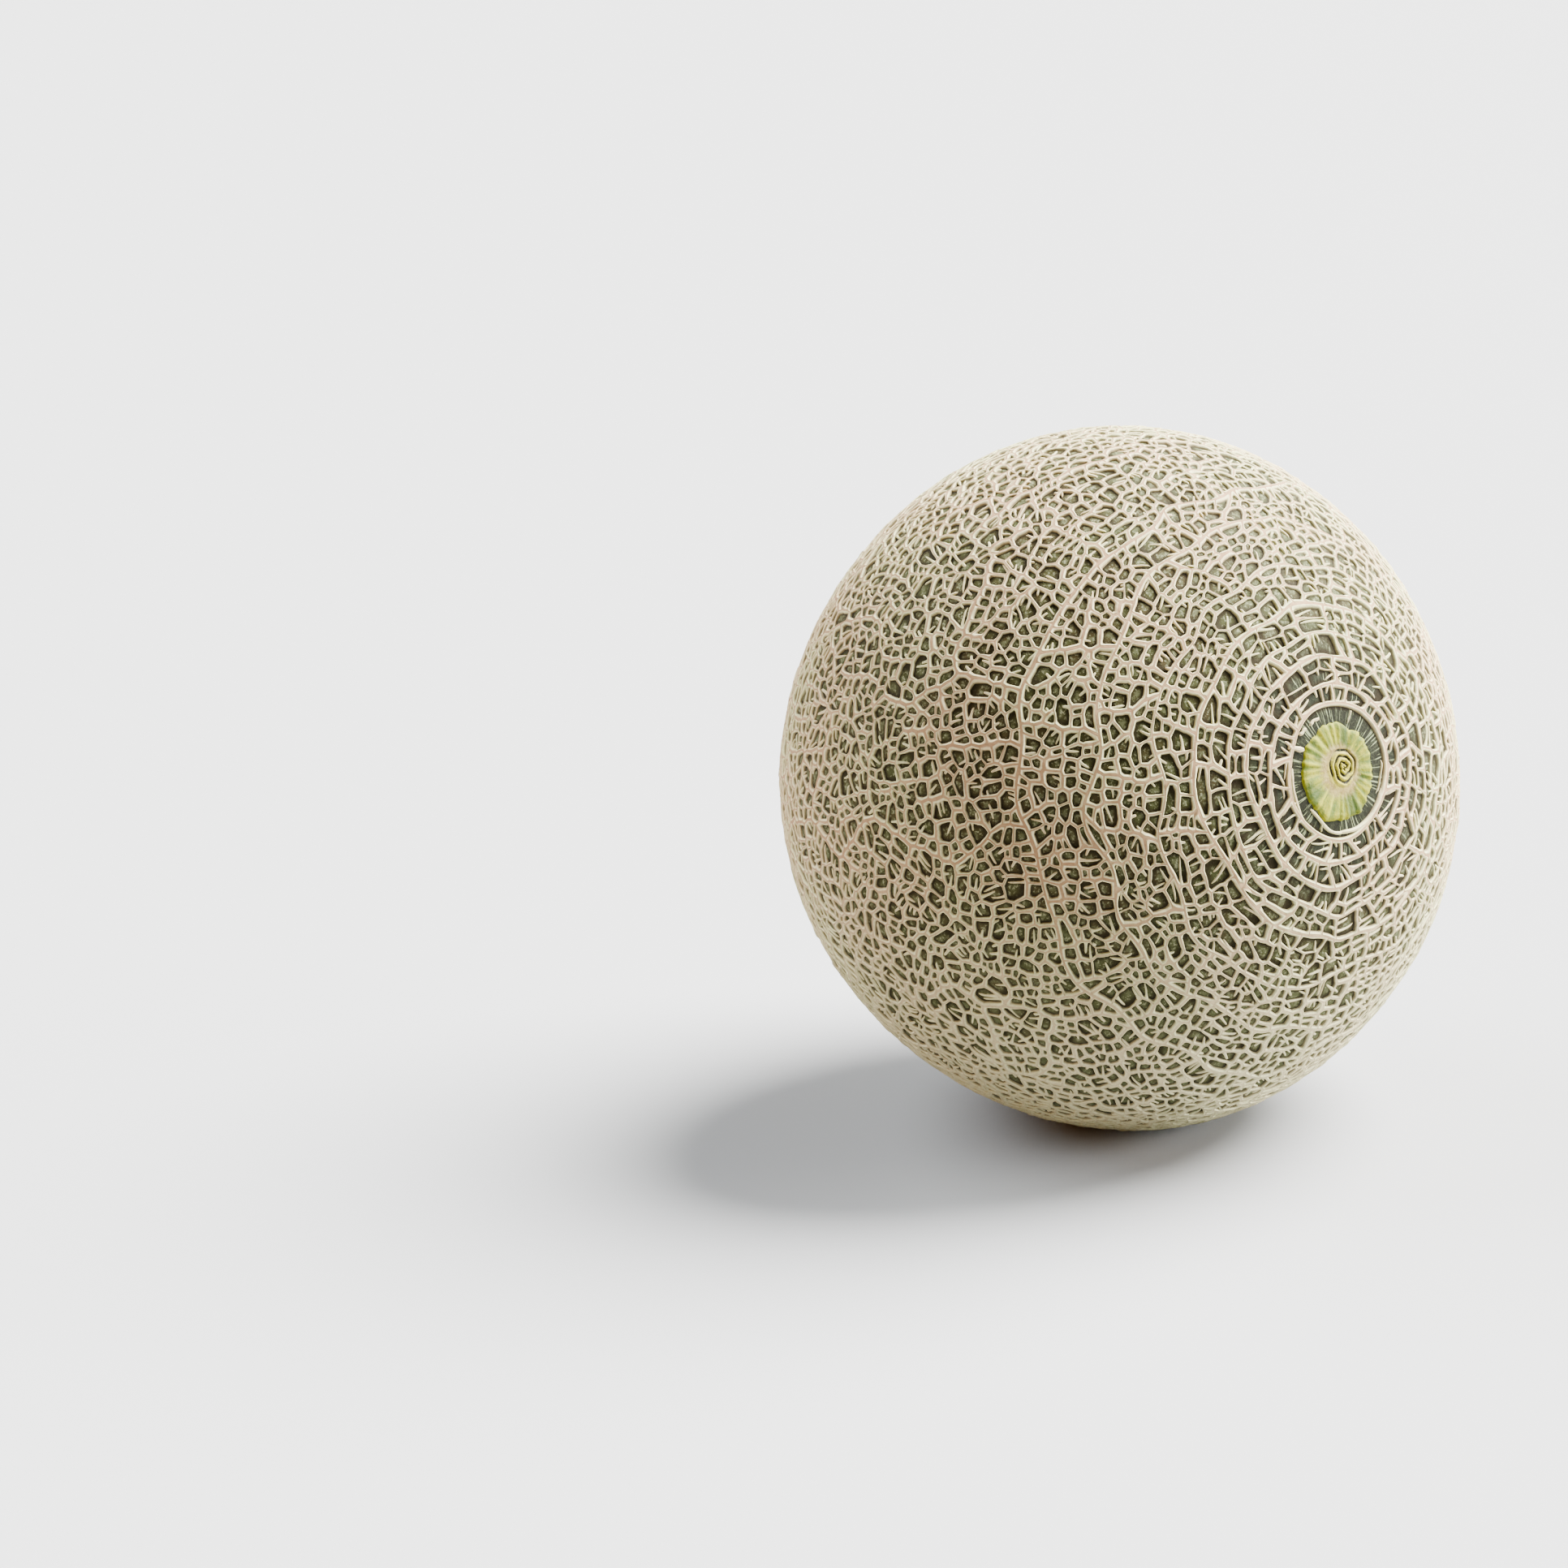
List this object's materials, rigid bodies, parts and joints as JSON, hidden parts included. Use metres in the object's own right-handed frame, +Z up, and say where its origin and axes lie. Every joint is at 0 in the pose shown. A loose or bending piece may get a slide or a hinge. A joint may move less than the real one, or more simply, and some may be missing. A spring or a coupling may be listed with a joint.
{
  "type": "cantaloupe melon",
  "caption": "Whole netted melon lying on its side: a round, slightly flattened fruit with a raised corky net and a round stem scar.",
  "frame": {"origin": "under the middle of the melon's box, at the level of the flat spot that it rests on", "axes": "+Z up; the stem end faces -Y, tilted up by 12 degrees; +X is to the right seen from the stem end"},
  "size_m": [0.15, 0.139, 0.1466],
  "materials": {
    "rind": "matte"
  },
  "bodies": {
    "root": {"melon": "rind"}
  },
  "joints": []
}
